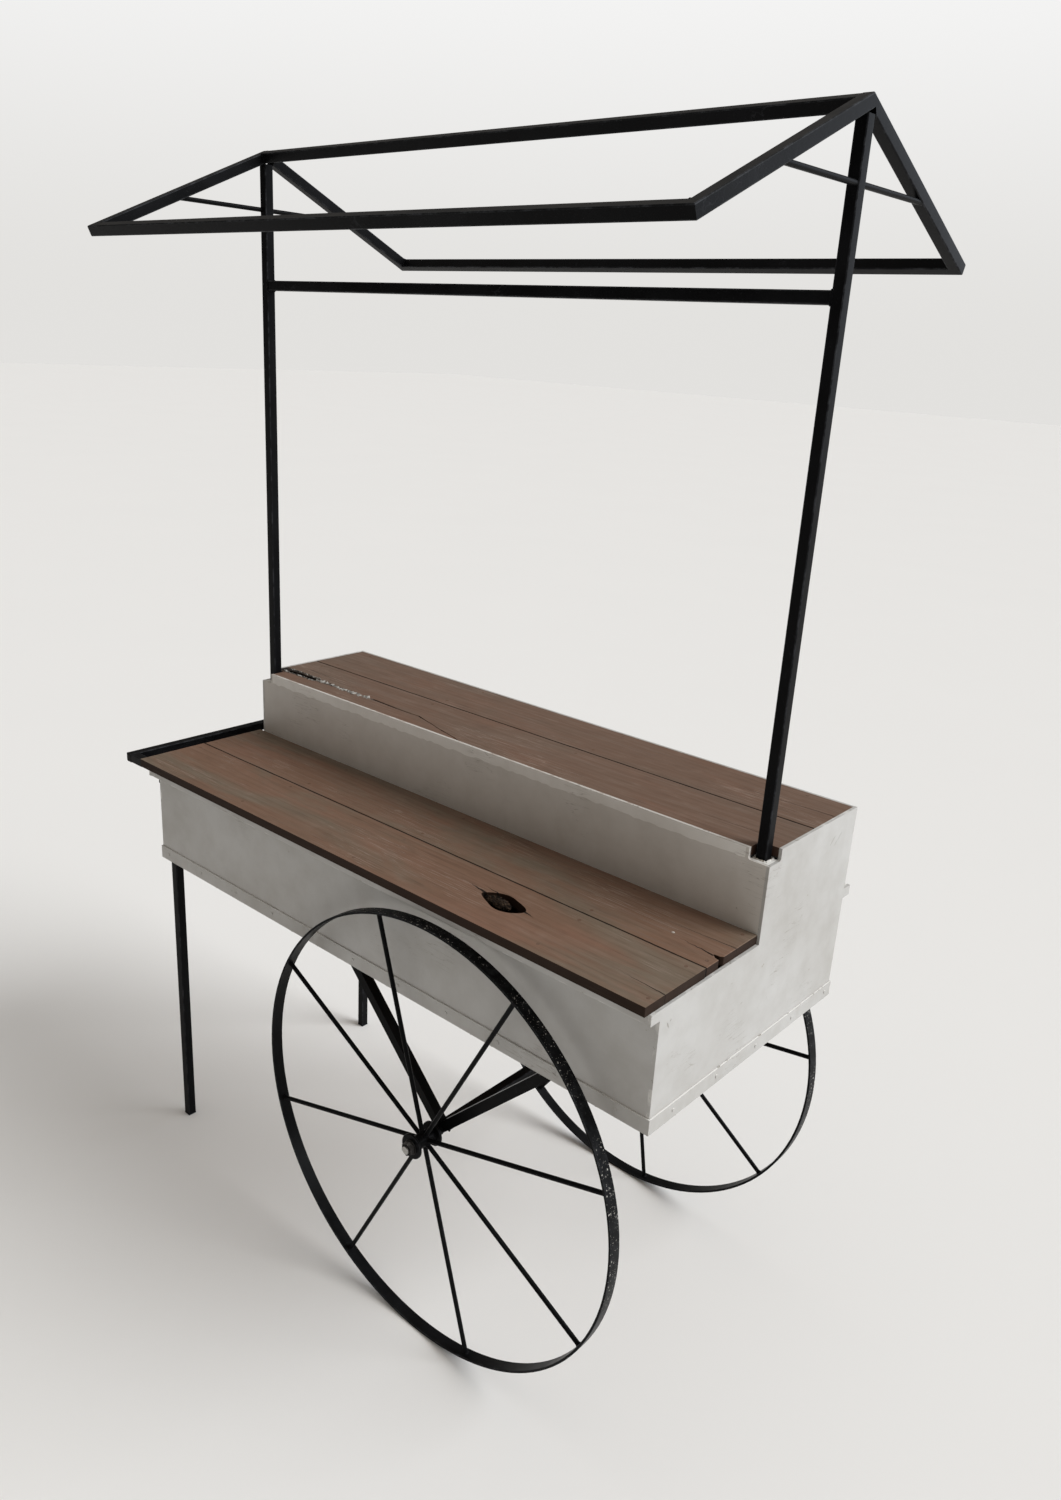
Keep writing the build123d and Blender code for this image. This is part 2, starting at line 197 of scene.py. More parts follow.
def paintedSteel(name, look):
    finish = Finish(name, {"Metallic": 0.0, "Specular IOR Level": look["gloss"]})
    place = finish.place
    upward = finish.facing.axis("Z").smooth(0.35, 0.95)
    patches = place.noise(7.0, 4.0, 0.6).smooth(0.35, 0.7)
    fine = place.noise(420.0, 2.0, 0.5)
    scuffLine = (place.noise(16.0, 3.0, 0.55, 1.2) - 0.5).size().smooth(0.012, 0.002)
    scuffs = scuffLine * place.noise(5.0).smooth(0.55, 0.66)
    # edge wear and painted highlight: chips in places, while the 0.2 that every edge gets paints a faint
    # highlight line along each rounded edge
    chips = finish.edge * (0.2 + place.noise(46.0, 4.0, 0.7).smooth(0.42, 0.66) * 0.8)
    specks = place.noise(650.0, 1.0, 0.4).smooth(look["specksFrom"], look["specksFrom"] + 0.03)
    dust = upward * (0.35 + place.noise(23.0, 4.0, 0.65).smooth(0.35, 0.75)) * look["dustAmount"]
    colour = patches.tint(look["paint"], look["faded"])
    colour = (scuffs * 0.3).tint(colour, look["chip"])
    colour = (chips * 0.7).tint(colour, look["chip"])
    colour = (dust + specks * 0.2).smooth(0.0, 1.0).tint(colour, look["dust"])
    finish.paint("Base Color", colour)
    finish.paint("Roughness", look["roughness"] + patches * 0.09 + dust * 0.9 + scuffs * 0.12 + fine * 0.04)
    finish.relief(fine * 0.25 + place.noise(38.0, 2.0) * 0.9 - chips * 0.6, 0.00022)
    return finish


def treadSteel(name, look, hub):
    # rim paint: a scuffed, dusty tread with pale grit in it
    finish = paintedSteel(name, look)
    place = finish.place
    across = place.axis("X") - hub.x
    high = place.axis("Z") - hub.z
    outward = (across * across + high * high).smooth((hub.z - 0.0012) ** 2, (hub.z - 0.0003) ** 2)
    grit = place.noise(260.0, 2.0, 0.6).smooth(0.64, 0.67)
    clusters = place.noise(7.0, 3.0, 0.6).smooth(0.44, 0.6)
    grime = place.noise(45.0, 4.0, 0.7).smooth(0.42, 0.72)
    old = finish.shader.inputs["Base Color"].links[0].from_socket
    colour = (outward * grime * 0.07).tint(Shade(finish.tree, old), look["dust"])
    colour = (outward * grit * clusters * 0.9).tint(colour, (0.5, 0.48, 0.44))
    finish.paint("Base Color", colour)
    return finish


# off-white brushed paint

whitePaintLook = {
    "paint": (0.530, 0.520, 0.500),
    "worn": (0.415, 0.397, 0.368),
    "grime": (0.30, 0.255, 0.20),
    "bare": (0.27, 0.24, 0.20),
    "bright": (0.82, 0.80, 0.76),
    "paintedTopHighlight": 0.0,
    "roughness": 0.46,
    "strokeDepth": 0.00016,
}
# painted light: the riser's copy of the white paint is lighter and warmer than the panels', standing in for
# the warmer light that falls on it
riserPaintedLightLook = {
    **whitePaintLook,
    "paint": (0.660, 0.630, 0.585),
    "worn": (0.545, 0.510, 0.462),
    "bright": (0.30, 0.22, 0.165),
}
oldPaintLook = {
    **whitePaintLook,
    "paint": (0.84, 0.82, 0.775),
    "worn": (0.68, 0.65, 0.60),
    "bright": (0.30, 0.22, 0.165),
    "strokeDepth": 0.0003,
}
bandLook = {
    **whitePaintLook,
    # painted highlight: the band's upward faces are tinted paler, as if lit from above
    "paintedTopHighlight": 0.9,
    "strokeDepth": 0.0001,
}


def whitePaint(name, look, low, high, marks=()):
    # brushed paint over board or steel; grime gathers between the heights low and high
    # a mark is a dent or scratch: its place, half its length, half its width and its lean about X
    finish = Finish(name, {"Metallic": 0.0, "Specular IOR Level": 0.45})
    place = finish.place
    height = place.axis("Z")
    clouds = place.noise(2.6, 4.0, 0.55).smooth(0.3, 0.72)
    mottle = place.noise(17.0, 5.0, 0.62).smooth(0.3, 0.75)
    strokes = place.placed((3.0, 3.0, 95.0)).noise(1.0, 4.0, 0.6, 0.4)
    stipple = place.noise(260.0, 2.0, 0.5)
    waves = place.noise(2.1, 1.0, 0.4)
    streaks = place.placed((34.0, 34.0, 1.6)).noise(1.0, 4.0, 0.62)
    bottom = height.smooth(low + 0.075, low)
    top = height.smooth(high - 0.05, high)
    grime = (bottom * 0.16 + top * 0.1) * streaks.smooth(0.42, 0.72) + mottle.smooth(0.75, 1.0) * 0.07
    dots = place.cells(21.0).smooth(0.055, 0.03) * place.noise(6.0).smooth(0.53, 0.6)
    slanted = place.placed((9.0, 9.0, 120.0), (0, 0, 0), (0.5, 0.35, 0))
    scratchLine = (slanted.noise(1.0, 2.0, 0.5) - 0.5).size().smooth(0.012, 0.003)
    scratches = scratchLine * place.noise(8.0, 2.0).smooth(0.58, 0.66)
    rubbed = finish.edge * place.noise(26.0, 4.0, 0.65).smooth(0.5, 0.62)
    chips = finish.edge * place.noise(60.0, 3.0, 0.7).smooth(0.62, 0.67)
    colour = (clouds * 0.6 + mottle * 0.4).tint(look["paint"], look["worn"])
    colour = grime.smooth(0.0, 1.0).tint(colour, look["grime"])
    colour = (scratches * 0.5).tint(colour, look["bare"])
    colour = (dots * 0.75).tint(colour, look["grime"])
    colour = (rubbed * 0.5).tint(colour, look["bright"])
    # painted highlight: faces that look up are tinted towards the bright colour, as light from above would
    # make them; only the band's look sets an amount
    paintedTopHighlight = finish.facing.axis("Z").smooth(0.5, 0.9)
    colour = (paintedTopHighlight * look["paintedTopHighlight"]).tint(colour, look["bright"])
    colour = (chips * 0.8).tint(colour, look["bare"])
    finish.paint("Roughness", look["roughness"] + mottle * 0.12 + grime * 0.15 - strokes * 0.06)
    dents = scratches * 0.0
    for spot, length, width, lean in marks:
        near = place.placed((1, 1, 1), (-spot[0], -spot[1], -spot[2]))
        near = near.placed((1, 1, 1), (0, 0, 0), (radians(lean), 0, 0)).placed((0, 1 / width, 1 / length))
        reach = near.make("VectorMath", {"operation": "LENGTH"}, {0: near}, "Value")
        dents = dents.larger((reach + place.noise(400.0, 2.0) * 0.5).smooth(1.2, 0.8))
    finish.paint("Base Color", (dents * 0.7).tint(colour, look["bare"]))
    ridges = strokes * look["strokeDepth"] + stipple * 0.00006 + waves * 0.0028
    finish.relief(ridges - (scratches + chips + dots * 0.5) * 0.0002 - dents * 0.0009, 1.0)
    return finish


# stained boards

lowerBoardLook = {
    "brown": (0.192, 0.112, 0.074),
    "red": (0.240, 0.128, 0.088),
    "grey": (0.160, 0.134, 0.098),
    "dark": (0.046, 0.025, 0.016),
    "pale": (0.300, 0.225, 0.180),
    "edge": (0.0160, 0.0066, 0.0032),
    "roughness": 0.52,
    "redAmount": 0.45,
    "greyAmount": 0.8,
}
upperBoardLook = {
    **lowerBoardLook,
    "brown": (0.162, 0.100, 0.070),
    "red": (0.205, 0.105, 0.068),
    "grey": (0.138, 0.104, 0.078),
    "edge": (0.045, 0.022, 0.014),
    "redAmount": 0.45,
    "greyAmount": 0.5,
    "roughness": 0.44,
}
floorBoardLook = {
    **lowerBoardLook,
    "brown": (0.34, 0.235, 0.145),
    "red": (0.38, 0.24, 0.14),
    "grey": (0.30, 0.225, 0.15),
    "dark": (0.17, 0.10, 0.055),
    "pale": (0.45, 0.34, 0.23),
    "edge": (0.22, 0.14, 0.08),
    "roughness": 0.68,
}


def crackMask(place, start, end, width, wander):
    # a hairline crack in the top of a board, from start to end along X, thinner towards its end
    reach = end[0] - start[0]
    along = (place.axis("X") - start[0]) * (1.0 / reach)
    ripple = (place.placed((55.0, 0.0, 0.0)).noise(1.0, 3.0, 0.6) - 0.5) * wander
    offset = place.axis("Y") - (start[1] + along * (end[1] - start[1]) + ripple)
    taper = (1.0 - along).larger(0.15) * width
    inside = (taper - offset.size()).smooth(0.0, width * 0.5)
    return inside * along.smooth(-0.01, 0.01) * along.smooth(1.01, 0.99)


def stainedBoard(name, look, shift, cracks=(), scars=(), seam=None):
    # one board's stain: its grain runs along X and is shifted so that no two boards match
    finish = Finish(name, {"Metallic": 0.0, "Specular IOR Level": 0.16})
    place = finish.place
    wood = place.placed((1, 1, 1), shift)
    bend = wood.noise(2.2, 2.0, 0.5)
    grain = wood.placed((3.4, 120.0, 120.0)).noise(1.0, 5.0, 0.66, 0.8)
    pores = wood.placed((14.0, 620.0, 620.0)).noise(1.0, 2.0, 0.5)
    figureInputs = {"Vector": wood.placed((0.55, 7.0, 7.0)), "Scale": 2.6, "Distortion": 7.5}
    figureInputs.update({"Detail": 3.0, "Detail Scale": 0.9, "Detail Roughness": 0.6})
    figure = wood.make("TexWave", {"bands_direction": "Y"}, figureInputs, 1)
    redPatch = wood.placed((2.4, 6.5, 6.5)).noise(1.0, 5.0, 0.62, 0.5).smooth(0.44, 0.66)
    greyPatch = wood.placed((1.9, 6.5, 6.5), (3.1, 1.7, 0)).noise(1.0, 5.0, 0.62, 0.5).smooth(0.42, 0.64)
    mottle = wood.placed((14.0, 38.0, 38.0)).noise(1.0, 5.0, 0.66)
    rubLine = (wood.placed((5.0, 170.0, 170.0), (0.7, 0, 0)).noise(1.0, 2.0, 0.5) - 0.5).size()
    rubs = rubLine.smooth(0.022, 0.005) * wood.placed((4.0, 14.0, 14.0)).noise(1.0, 3.0).smooth(0.5, 0.64)
    colour = (redPatch * look["redAmount"]).tint(look["brown"], look["red"])
    colour = (greyPatch * look["greyAmount"]).tint(colour, look["grey"])
    streaks = grain.smooth(0.5, 0.78) * 0.3 + mottle.smooth(0.5, 0.2) * 0.22
    colour = (figure.smooth(0.55, 1.0) * 0.10 + streaks).tint(colour, look["dark"])
    sheen = wood.placed((4.5, 150.0, 150.0), (5.5, 0, 0)).noise(1.0, 4.0, 0.7).smooth(0.5, 0.75)
    colour = (mottle.smooth(0.5, 0.8) * 0.24 + sheen * 0.22).tint(colour, look["pale"])
    colour = (pores.smooth(0.62, 0.74) * 0.42).tint(colour, look["dark"])
    colour = (rubs * 0.6).tint(colour, look["pale"])
    rubbed = finish.edge * grain.smooth(0.5, 0.62)
    colour = (rubbed * 0.2).tint(colour, look["pale"])
    upright = finish.facing.axis("Z").size().smooth(0.6, 0.3)
    colour = (upright * (0.88 + mottle * 0.12)).tint(colour, look["edge"])
    splits = rubs * 0.0
    if seam is not None:
        # dirt packed into the joint with the next board, wider in places
        dirtWidth = wood.placed((9.0, 0.0, 0.0)).noise(1.0, 4.0, 0.7) * 0.0046
        splits = (dirtWidth - (place.axis("Y") - seam).size()).smooth(0.0, 0.0006) * 0.9
    for start, end, width, wander in cracks:
        splits = splits.larger(crackMask(place, start, end, width, wander))
    colour = (splits * 0.93).tint(colour, (0.006, 0.004, 0.003))
    for spot, radius in scars:
        near = place.placed((1, 1, 1), (-spot[0], -spot[1], -spot[2]))
        distance = near.make("VectorMath", {"operation": "LENGTH"}, {0: near.placed((0.55, 1, 1))}, "Value")
        wobble = place.noise(90.0, 4.0, 0.7) * radius
        colour = ((distance + wobble).smooth(radius, radius * 0.6) * 0.55).tint(colour, look["pale"])
    finish.paint("Base Color", colour)
    roughness = look["roughness"] + mottle * 0.16 + greyPatch * 0.08
    finish.paint("Roughness", roughness - rubs * 0.08 + upright * 0.1)
    height = grain * 0.00022 + figure * 0.00008 + pores * 0.00005 + bend * 0.0016
    finish.relief(height - splits * 0.0012 - rubs * 0.00006, 1.0)
    return finish


# bare steel and filler

def bareSteel(name):
    finish = Finish(name, {"Metallic": 1.0})
    place = finish.place
    turned = place.placed((1.0, 900.0, 1.0)).noise(1.0, 2.0, 0.5)
    rust = place.noise(130.0, 4.0, 0.7).smooth(0.55, 0.7)
    finish.paint("Base Color", (rust * 0.55).tint((0.42, 0.41, 0.39), (0.19, 0.09, 0.045)))
    finish.paint("Roughness", 0.32 + rust * 0.35 + turned * 0.1)
    finish.paint("Metallic", 1.0 - rust * 0.7)
    finish.relief(turned * 0.5 + rust * 0.4, 0.00012)
    return finish


def fillerPaste(name, paste, dirty):
    # chalky filler, ragged and a little dirty
    finish = Finish(name, {"Metallic": 0.0, "Specular IOR Level": 0.3})
    crust = finish.place.noise(240.0, 4.0, 0.7)
    dirt = finish.place.noise(95.0, 3.0, 0.7).smooth(0.46, 0.62)
    finish.paint("Base Color", (dirt * 0.85).tint(paste, dirty))
    finish.paint("Roughness", 0.7 + crust * 0.2)
    finish.relief(crust, 0.0009)
    return finish


def knotBark(name):
    # dry bark and rotten fibre inside a knot
    finish = Finish(name, {"Metallic": 0.0, "Specular IOR Level": 0.2})
    place = finish.place
    fibres = place.placed((60.0, 260.0, 200.0), (0, 0, 0), (0, 0, 0.5)).noise(1.0, 4.0, 0.7)
    lumps = place.noise(120.0, 4.0, 0.7)
    colour = lumps.smooth(0.4, 0.7).tint((0.007, 0.0045, 0.003), (0.075, 0.046, 0.028))
    colour = (fibres.smooth(0.55, 0.72) * 0.6).tint(colour, (0.16, 0.115, 0.078))
    finish.paint("Base Color", colour)
    finish.paint("Roughness", 0.78 + fibres * 0.15)
    finish.relief(fibres + lumps, 0.0014)
    return finish


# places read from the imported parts

print("finishes")
hubLow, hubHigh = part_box("wheel_front_hub")
hubCentre = (hubLow + hubHigh) / 2
bandLow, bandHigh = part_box("skirt_front")
lowerLow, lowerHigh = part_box("lower_board_front")
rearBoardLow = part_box("lower_board_rear")[0]
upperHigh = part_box("upper_board_front")[1]
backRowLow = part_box("upper_board_rear")[0]
riserLow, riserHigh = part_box("riser_panel")
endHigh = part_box("right_end_panel")[1]
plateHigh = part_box("post_plates")[1]
lowerTop, upperTop = lowerHigh.z, upperHigh.z
lowerSeam = (lowerHigh.y + rearBoardLow.y) / 2
upperSeam = (upperHigh.y + backRowLow.y) / 2

boardMarks = {
    "knot": (0.350, -0.259),
    "brightNail": (0.619, -0.126),
    "paleScar": (-0.075, -0.118),
    "smallScar": (-0.275, -0.215),
}
highX = lowerHigh.x
knotX, knotY = boardMarks["knot"]
nailX, nailY = boardMarks["brightNail"]
frontCracks = [
    ((knotX - 0.044, knotY + 0.004), (knotX - 0.108, knotY + 0.014), 0.0046, 0.014),
    ((knotX + 0.043, knotY + 0.002), (knotX + 0.078, knotY - 0.006), 0.0040, 0.010),
    ((knotX - 0.030, knotY + 0.019), (knotX - 0.078, knotY + 0.026), 0.0018, 0.010),
    ((highX, -0.300), (highX - 0.120, -0.292), 0.0014, 0.006),
]
rearCracks = [
    ((highX - 0.014, -0.141), (nailX + 0.002, nailY - 0.006), 0.0026, 0.014),
    ((highX, -0.093), (highX - 0.170, -0.100), 0.0012, 0.005),
]
# both boards are painted near-black beside the split, widest at the handle end and narrower towards the
# middle of the cart
splitDarkBand = [
    ((-0.664, 0.028), (-0.440, 0.031), 0.0240, 0.020),
    ((-0.560, 0.030), (-0.290, 0.031), 0.0120, 0.016),
    ((-0.330, 0.031), (-0.170, 0.029), 0.0042, 0.004),
    ((-0.176, 0.029), (-0.079, 0.001), 0.0026, 0.002),
    ((-0.079, 0.001), (-0.010, -0.017), 0.0022, 0.002),
]
upperFrontCracks = [
    *splitDarkBand,
    ((riserHigh.x - 0.030, 0.045), (riserHigh.x - 0.230, 0.038), 0.0010, 0.006),
    ((-0.60, 0.072), (-0.36, 0.062), 0.0010, 0.010),
]
upperRearCracks = [
    ((riserHigh.x - 0.002, 0.214), (riserHigh.x - 0.26, 0.205), 0.0012, 0.008),
]
endMarks = [
    ((endHigh.x, -0.291, 0.903), 0.0075, 0.0017, -28),
    ((endHigh.x, -0.284, 0.909), 0.0030, 0.0012, 50),
    ((endHigh.x, 0.204, 1.066), 0.0160, 0.0008, 47),
    ((endHigh.x, 0.232, 1.068), 0.0120, 0.0008, 40),
    ((endHigh.x, 0.219, 1.058), 0.0070, 0.0007, 52),
    ((endHigh.x, -0.060, 0.842), 0.0055, 0.0008, 75),
]
rearScars = [
    ((*boardMarks["paleScar"], lowerTop), 0.016),
    ((*boardMarks["smallScar"], lowerTop), 0.010),
]

finishes = {
    "black_steel": paintedSteel("satin_black_paint", blackSteelLook),
    "black_fixings": paintedSteel("worn_black_fixings", fixingLook),
    "bare_steel": bareSteel("turned_steel"),
    "frame_steel": paintedSteel("dark_primer", primerLook),
    "painted_board": whitePaint("brushed_white_board", whitePaintLook, bandLow.z, lowerLow.z),
    "painted_steel": whitePaint("brushed_white_steel", bandLook, bandLow.z, bandHigh.z),
    "floor_board": stainedBoard("raw_plywood", floorBoardLook, (4.0, 0.3, 0)),
    "lower_boards": stainedBoard(
        "lower_board_stain_rear", lowerBoardLook, (1.7, 0.9, 0), rearCracks, rearScars, lowerSeam),
    "upper_boards": stainedBoard(
        "upper_board_stain_rear", upperBoardLook, (2.9, 2.3, 0), upperRearCracks, (), upperSeam),
    "rim": treadSteel("dusty_rim_paint", blackSteelLook, hubCentre),
    "riser": whitePaint("brushed_white_riser", riserPaintedLightLook, lowerTop, riserHigh.z),
    "filler": fillerPaste("chalky_filler", (0.74, 0.72, 0.68), (0.32, 0.27, 0.21)),
    "crumbs": fillerPaste("crumbling_filler", (0.36, 0.34, 0.31), (0.016, 0.012, 0.010)),
    "stained_nails": paintedSteel("stained_nail_heads", nailLook),
    "old_paint": whitePaint("old_riser_paint", oldPaintLook, lowerTop, riserHigh.z),
    "bark": knotBark("knot_bark"),
}
ownFinish = {
    "lower_board_front": stainedBoard(
        "lower_board_stain_front", lowerBoardLook, (0, 0, 0), frontCracks, (), lowerSeam),
    "upper_board_front": stainedBoard(
        "upper_board_stain_front", upperBoardLook, (0.8, 3.1, 0), upperFrontCracks, (), upperSeam),
    "upper_board_strip": stainedBoard("upper_board_stain_strip", upperBoardLook, (5.2, 1.4, 0), splitDarkBand),
    "wheel_front_rim": finishes["rim"],
    "wheel_rear_rim": finishes["rim"],
    "riser_panel": finishes["riser"],
    "right_end_panel": whitePaint(
        "brushed_white_end", whitePaintLook, bandLow.z, lowerLow.z, endMarks),
}
for node, part in nodes.items():
    part.data.materials.clear()
    part.data.materials.append(ownFinish.get(node, finishes[slotOf[node]]).material)


# working on one piece at a time

def selectOnly(*pieces):
    bpy.ops.object.select_all(action="DESELECT")
    for piece in pieces:
        piece.select_set(True)
    bpy.context.view_layer.objects.active = pieces[0]


def selectEdges(piece, wanted):
    # in edit mode: leaves just the wanted edges selected
    bpy.ops.mesh.select_mode(type="EDGE")
    bpy.ops.mesh.select_all(action="DESELECT")
    mesh = bmesh.from_edit_mesh(piece.data)
    for edge in mesh.edges:
        edge.select_set(wanted(edge))
    bmesh.update_edit_mesh(piece.data)


def selectFaces(piece, wanted):
    bpy.ops.mesh.select_mode(type="FACE")
    bpy.ops.mesh.select_all(action="DESELECT")
    mesh = bmesh.from_edit_mesh(piece.data)
    for face in mesh.faces:
        face.select_set(wanted(face))
    bmesh.update_edit_mesh(piece.data)


def markEdgeFaces(piece):
    # faces left selected by a bevel carry the attribute that the wear, and the painted edge highlight on
    # black steel, follow
    flags = [float(face.select) for face in piece.data.polygons]
    attribute = piece.data.attributes.new("edge", "FLOAT", "FACE")
    attribute.data.foreach_set("value", flags)


def applyModifier(piece, kind, **settings):
    selectOnly(piece)
    modifier = piece.modifiers.new(kind.lower(), kind)
    for name, value in settings.items():
        setattr(modifier, name, value)
    bpy.ops.object.modifier_apply(modifier=modifier.name)


def shadeByAngle(piece, degrees=40):
    selectOnly(piece)
    bpy.ops.object.shade_smooth_by_angle(angle=radians(degrees))


def finishPiece(piece, body, material):
    piece.data.materials.clear()
    piece.data.materials.append(material)
    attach(piece, body)
    return piece


def copyOf(node, name):
    # a merged copy of a CAD node, with its flat faces whole again
    piece = bpy.data.objects.new(name, nodes[node].data.copy())
    bpy.context.scene.collection.objects.link(piece)
    selectOnly(piece)
    bpy.ops.mesh.customdata_custom_splitnormals_clear()
    bpy.ops.object.mode_set(mode="EDIT")
    bpy.ops.mesh.select_all(action="SELECT")
    bpy.ops.mesh.remove_doubles(threshold=0.00002)
    bpy.ops.mesh.dissolve_limited(angle_limit=radians(0.4), delimit=set())
    bpy.ops.object.mode_set(mode="OBJECT")
    return piece


def roundedCopy(node, width, segments, shortest):
    # the node with its sharp edges rounded, all but those shorter than shortest
    piece = copyOf(node, node + "_rounded")
    bpy.ops.object.mode_set(mode="EDIT")
    selectEdges(piece, lambda edge: edge.is_manifold and edge.calc_face_angle() > radians(25)
                and edge.calc_length() > shortest)
    bpy.ops.mesh.bevel(offset=width, segments=segments, affect="EDGES", clamp_overlap=True)
    bpy.ops.object.mode_set(mode="OBJECT")
    markEdgeFaces(piece)
    shadeByAngle(piece)
    applyModifier(piece, "WEIGHTED_NORMAL", keep_sharp=True, weight=50)
    finishPiece(piece, bodyOf[node], nodes[node].data.materials[0])
    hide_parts(node)
    return piece


# rounded tubes, eased boards and panels
# width, segments and the shortest edge that is rounded, by the start of a node's name

edgeStyles = {
    "canopy_": (0.0022, 3, 0.05),
    "handle_arms": (0.0022, 3, 0.03),
    "handle_crossbar": (0.0022, 3, 0.03),
    "handle_brackets": (0.0008, 2, 0.003),
    "leg_": (0.0022, 3, 0.05),
    "strut_": (0.0022, 3, 0.05),
    "axle_beam": (0.0022, 3, 0.05),
    "ledger_": (0.0022, 3, 0.05),
    "front_panel": (0.0009, 2, 0.01),
    "rear_panel": (0.0009, 2, 0.01),
    "left_end_panel": (0.0012, 2, 0.0012),
    "right_end_panel": (0.0012, 2, 0.0012),
    "riser_panel": (0.0012, 2, 0.0012),
    "skirt_front": (0.0007, 2, 0.002),
    "skirt_rear": (0.0007, 2, 0.002),
    "skirt_left": (0.0007, 2, 0.002),
    "skirt_right": (0.0007, 2, 0.002),
    "lower_board": (0.0014, 3, 0.0015),
    "upper_board": (0.0011, 2, 0.0015),
    "wheel_front_rim": (0.0012, 2, 0.001),
    "wheel_rear_rim": (0.0012, 2, 0.001),
    "wheel_front_discs": (0.0012, 3, 0.0005),
    "wheel_rear_discs": (0.0012, 3, 0.0005),
    "axle_nuts": (0.0009, 2, 0.002),
    "axle_washers": (0.0004, 2, 0.0005),
    "foot_caps": (0.0007, 2, 0.001),
    "post_plates": (0.0008, 2, 0.002),
}
unrounded = ["canopy_tie_rods"]
print("rounded copies")
rounded = {}
for start, (width, segments, shortest) in edgeStyles.items():
    for node in sorted(nodes):
        if node.startswith(start) and node not in unrounded and node not in rounded:
            rounded[node] = roundedCopy(node, width, segments, shortest)


# knot bark, nails, cracks and filler in the boards

barkShape = {"length": 0.031, "width": 0.0125, "height": 0.0080, "fromKnot": (-0.019, 0.006), "under": 0.0095}


def growBark():
    # dry bark that fills the handle side of the knot hole
    x, y = knotX + barkShape["fromKnot"][0], knotY + barkShape["fromKnot"][1]
    bpy.ops.object.select_all(action="DESELECT")
    bpy.ops.mesh.primitive_ico_sphere_add(subdivisions=5, radius=1.0, location=(0, 0, 0))
    bark = bpy.context.object
    bark.name = "knot_bark"
    bpy.ops.object.mode_set(mode="EDIT")
    bpy.ops.transform.resize(value=(barkShape["length"], barkShape["width"], barkShape["height"]))
    bpy.ops.transform.vertex_random(offset=0.0011, uniform=0.6, seed=4)
    bpy.ops.transform.translate(value=(x, y, lowerTop - barkShape["under"]))
    bpy.ops.object.mode_set(mode="OBJECT")
    for vertex in bark.data.vertices:
        # ragged ridges that run roughly along the grain
        spot = Vector((vertex.co.x * 95, vertex.co.y * 330, 0.7))
        ridge = noise.noise(spot) * 0.0036 + noise.noise(spot * 3.1) * 0.0015
        vertex.co.z = min(vertex.co.z + ridge, lowerTop - 0.0006)
    shadeByAngle(bark, 50)
    finishPiece(bark, "cart", finishes["bark"].material)


def crust(name, path, width, height, ragged, seed, slot, finish):
    # an uneven bead of filler or paint: one small face, extruded from point to point along the path
    chance = random.Random(seed)
    points = [Vector(point) for point in path]
    bpy.ops.object.select_all(action="DESELECT")
    bpy.ops.mesh.primitive_circle_add(vertices=6, radius=0.5, fill_type="NGON", location=(0, 0, 0))
    bead = bpy.context.object
    bead.name = name
    bpy.ops.object.mode_set(mode="EDIT")
    first = (points[1] - points[0]).normalized()
    bpy.ops.transform.resize(value=(width, height, 1))
    shape = bmesh.from_edit_mesh(bead.data)
    section = Matrix((first.cross(Vector((0, 0, 1))), Vector((0, 0, 1)), first)).transposed().to_4x4()
    bmesh.ops.transform(shape, matrix=Matrix.Translation(points[0]) @ section, verts=shape.verts)
    bmesh.update_edit_mesh(bead.data)
    bpy.ops.mesh.select_all(action="SELECT")
    before = 1.0
    for here, there in zip(points, points[1:]):
        bpy.ops.mesh.extrude_region_move(TRANSFORM_OT_translate={"value": there - here})
        size = 1 + chance.uniform(-ragged, ragged)
        change = size / before
        bpy.ops.transform.resize(value=(change, change, change), center_override=there)
        before = size
    bpy.ops.mesh.select_all(action="SELECT")
    bpy.ops.mesh.normals_make_consistent(inside=False)
    bpy.ops.transform.vertex_random(offset=width * ragged * 0.5, uniform=0.4, seed=seed)
    bpy.ops.mesh.subdivide(number_cuts=1, fractal=ragged * 0.6, seed=seed)
    bpy.ops.object.mode_set(mode="OBJECT")
    shadeByAngle(bead, 60)
    finishPiece(bead, "cart", finishes[finish].material)
    return bead


def steps(start, end, pitch):
    # evenly spaced points from start up to, but not at, end
    start, end = Vector(start), Vector(end)
    count = max(1, round((end - start).length / pitch))
    return [start.lerp(end, k / count) for k in range(count)]


crackFiller = {
    "path": [(-0.525, 0.0290), (-0.490, 0.0320), (-0.455, 0.0312), (-0.430, 0.0290), (-0.380, 0.0298),
             (-0.340, 0.0308), (-0.322, 0.0310)],
    "width": 0.0120,
    "height": 0.0046,
    "pitch": 0.0042,
}
crumbRows = {
    "ys": (0.0195, 0.0395),
    "fromX": -0.636,
    "toX": -0.520,
    "width": 0.0034,
    "height": 0.0034,
    "pitch": 0.0031,
}
caulkShape = {"fromPost": 0.0030, "width": 0.0042, "height": 0.0030, "pitch": 0.0022}
postLow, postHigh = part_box("canopy_post_right")
leftPostLow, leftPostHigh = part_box("canopy_post_left")


def fillCrack():
    # old filler, standing a little proud in the split of the upper counter
    corners = [Vector((x, y, upperTop - 0.0012)) for x, y in crackFiller["path"]]
    path = []
    for here, there in zip(corners, corners[1:]):
        path += steps(here, there, crackFiller["pitch"])
    crust("crack_filler", path, crackFiller["width"], crackFiller["height"], 0.6, 3,
          "upper_boards", "crumbs")
    chance = random.Random(17)
    for k, y in enumerate(crumbRows["ys"]):
        path = steps((crumbRows["fromX"], y, upperTop), (crumbRows["toX"], y, upperTop), crumbRows["pitch"])
        path = [point + Vector((0, chance.uniform(-0.0022, 0.0022), 0)) for point in path]
        crust(f"crack_crumbs_{k}", path, crumbRows["width"], crumbRows["height"], 0.75, 23 + k,
              "upper_boards", "crumbs")


